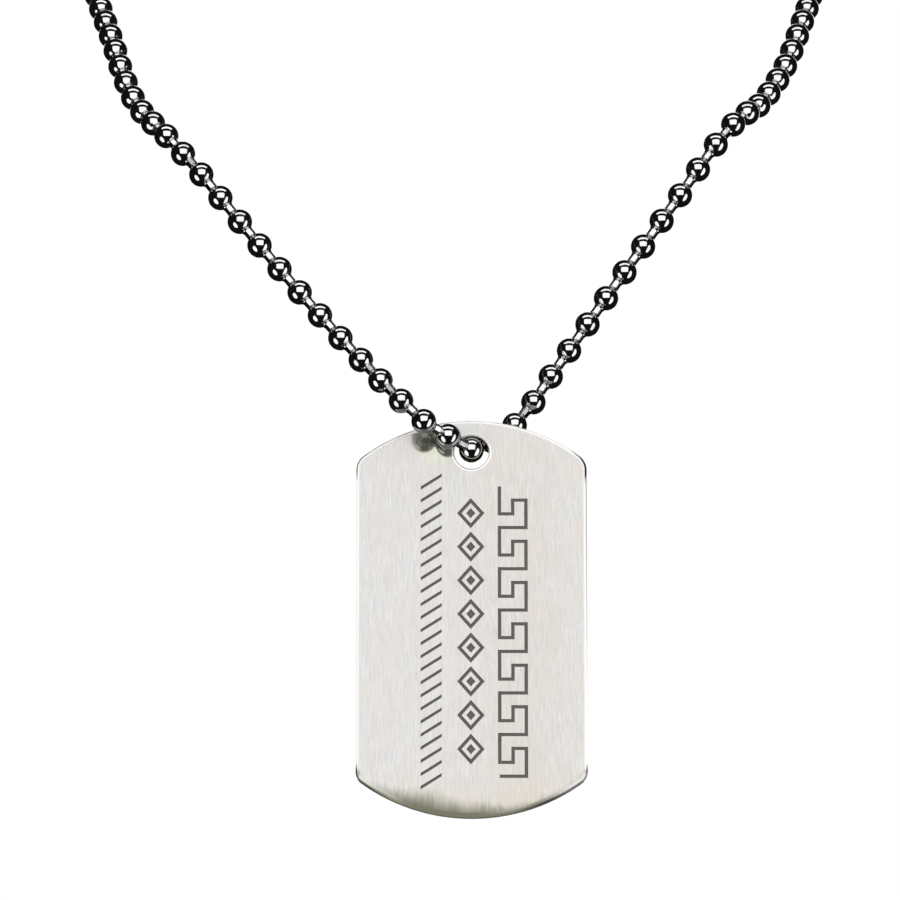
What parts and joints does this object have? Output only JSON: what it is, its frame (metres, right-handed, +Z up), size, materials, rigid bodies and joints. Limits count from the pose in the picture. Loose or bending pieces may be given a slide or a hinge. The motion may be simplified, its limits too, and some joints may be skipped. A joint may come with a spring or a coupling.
{
  "type": "identification dog tag on ball chain",
  "caption": "Flat steel identification tag with arched ends and a bevelled edge, hung by its hole on a closed ball-chain necklace.",
  "frame": {"origin": "the middle of the connector at the nape, where the necklace hangs on a neck or hook", "axes": "+Z up, the tag's engraved face looks along -Y, and +X is to the right of someone who looks at that face"},
  "size_m": [0.1015, 0.1535, 0.1616],
  "materials": {
    "tag_steel": "satin, brushed along its length, with a polished bevel and a darkened engraving",
    "chain_steel": "polished dark gunmetal",
    "link_steel": "polished dark gunmetal"
  },
  "bodies": {
    "chain": {"chain_balls": "chain_steel", "chain_links": "link_steel", "connector": "chain_steel"},
    "tag": {"tag": "tag_steel"}
  },
  "joints": [
    {"name": "tag_swing", "type": "hinge", "parent": "chain", "child": "tag", "pos_m": [0.0025, -0.145, -0.1125], "axis": [0, 1, 0], "range_deg": [-35, 35]}
  ]
}
